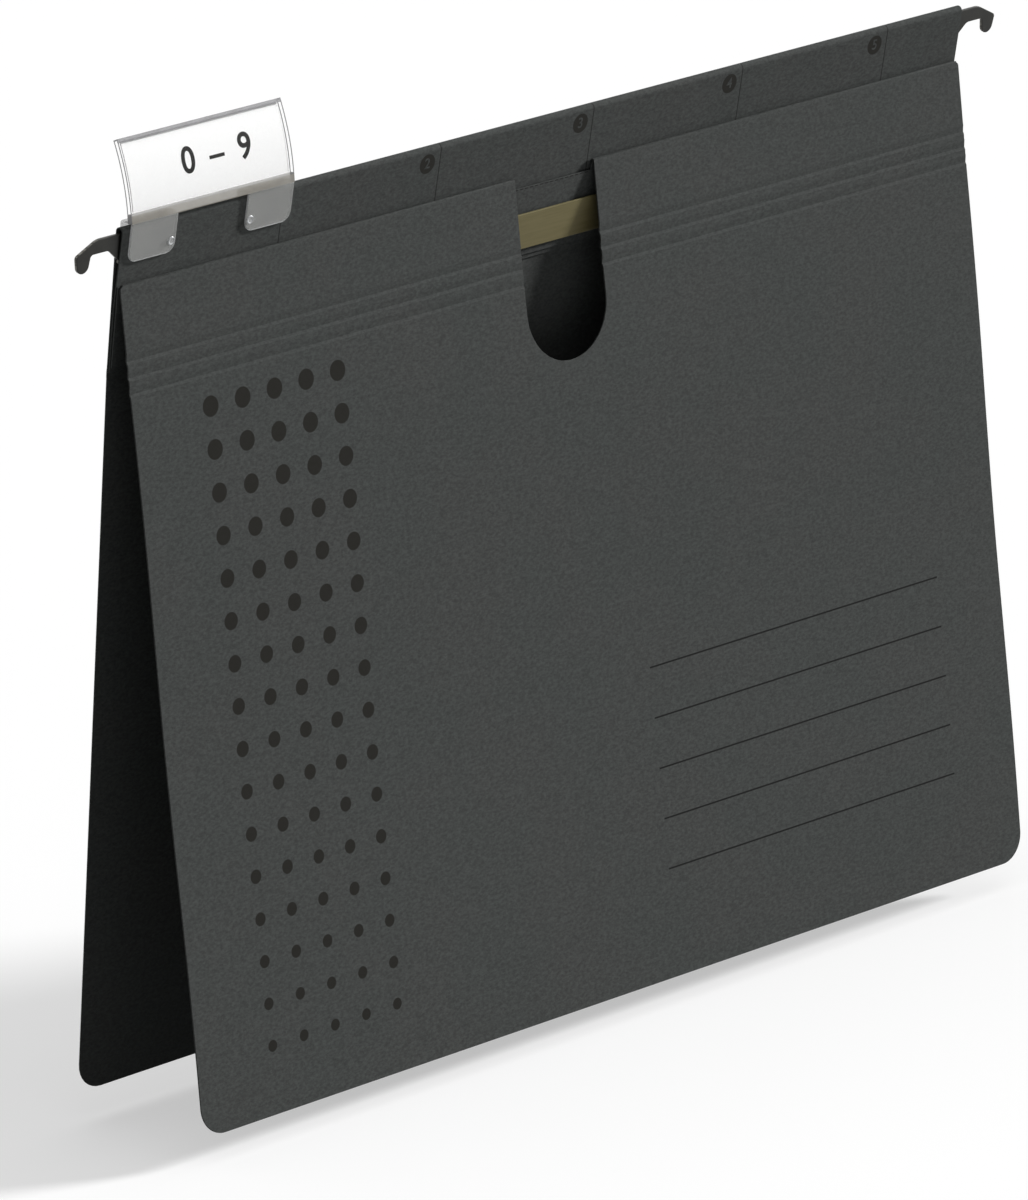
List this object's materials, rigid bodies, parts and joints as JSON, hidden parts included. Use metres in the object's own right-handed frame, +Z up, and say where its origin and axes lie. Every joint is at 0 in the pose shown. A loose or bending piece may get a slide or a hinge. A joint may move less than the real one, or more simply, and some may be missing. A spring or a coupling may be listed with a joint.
{
  "type": "hanging fastener folder",
  "caption": "Hanging board folder on a steel rail with end hooks, with a prong fastener behind a notched and creased front cover and a clear sliding index tab.",
  "frame": {"origin": "midway between the two hook seats, on the line where the rail hangs on a filing frame", "axes": "+X along the rail to the right as seen from the front, +Y from the front cover to the back cover, +Z up"},
  "size_m": [0.348, 0.0485, 0.2649],
  "materials": {
    "anthracite_board": "matt dyed pressboard",
    "dark_steel": "dark varnished strip steel",
    "bright_steel": "bright tinned strip",
    "brass_coating": "satin brass coated metal",
    "clear_plastic": "clear moulded plastic",
    "white_card": "matt white card"
  },
  "bodies": {
    "root": {"hanging_rail": "dark_steel", "back_sleeve": "anthracite_board", "hinge_flap": "anthracite_board", "prong_strip": "bright_steel", "cover_bar": "brass_coating"},
    "back_cover": {"back_panel": "anthracite_board"},
    "front_strip": {"front_top_strip_left": "anthracite_board", "front_top_strip_right": "anthracite_board"},
    "crease_upper": {"crease_strip_upper_left": "anthracite_board", "crease_strip_upper_right": "anthracite_board"},
    "crease_lower": {"crease_strip_lower_left": "anthracite_board", "crease_strip_lower_right": "anthracite_board"},
    "front_cover": {"front_panel": "anthracite_board"},
    "tab": {"tab_holder": "clear_plastic"},
    "label": {"tab_label": "white_card"},
    "left_slider": {"slider_left": "brass_coating"},
    "right_slider": {"slider_right": "brass_coating"}
  },
  "joints": [
    {"name": "front_fold", "type": "hinge", "parent": "root", "child": "front_strip", "pos_m": [0, -0.00013, -0.01059], "axis": [-1, 0, 0], "range_deg": [-1, 60], "stiffness_Nm_per_rad": 0.04, "springref_deg": 4.73},
    {"name": "upper_crease", "type": "hinge", "parent": "front_strip", "child": "crease_upper", "pos_m": [0, -0.00299, -0.03064], "axis": [-1, 0, 0], "range_deg": [-3, 30], "stiffness_Nm_per_rad": 0.04, "springref_deg": 3.83},
    {"name": "middle_crease", "type": "hinge", "parent": "crease_upper", "child": "crease_lower", "pos_m": [0, -0.00353, -0.03494], "axis": [-1, 0, 0], "range_deg": [-3, 30], "stiffness_Nm_per_rad": 0.04, "springref_deg": 3.68},
    {"name": "lower_crease", "type": "hinge", "parent": "crease_lower", "child": "front_cover", "pos_m": [0, -0.00407, -0.03923], "axis": [-1, 0, 0], "range_deg": [-3, 30], "stiffness_Nm_per_rad": 0.04, "springref_deg": 3.52},
    {"name": "back_bend", "type": "hinge", "parent": "root", "child": "back_cover", "pos_m": [0, 0.00473, -0.03469], "axis": [1, 0, 0], "range_deg": [-1, 15], "stiffness_Nm_per_rad": 0.04, "springref_deg": 2.09},
    {"name": "tab_slide", "type": "slide", "parent": "root", "child": "tab", "axis": [1, 0, 0], "range_m": [0, 0.23]},
    {"name": "label_slide", "type": "slide", "parent": "tab", "child": "label", "axis": [1, 0, 0], "range_m": [0, 0.056]},
    {"name": "slider_left_slide", "type": "slide", "parent": "root", "child": "left_slider", "axis": [1, 0, 0], "range_m": [0, 0.027]},
    {"name": "slider_right_slide", "type": "slide", "parent": "root", "child": "right_slider", "axis": [-1, 0, 0], "range_m": [0, 0.027]}
  ]
}
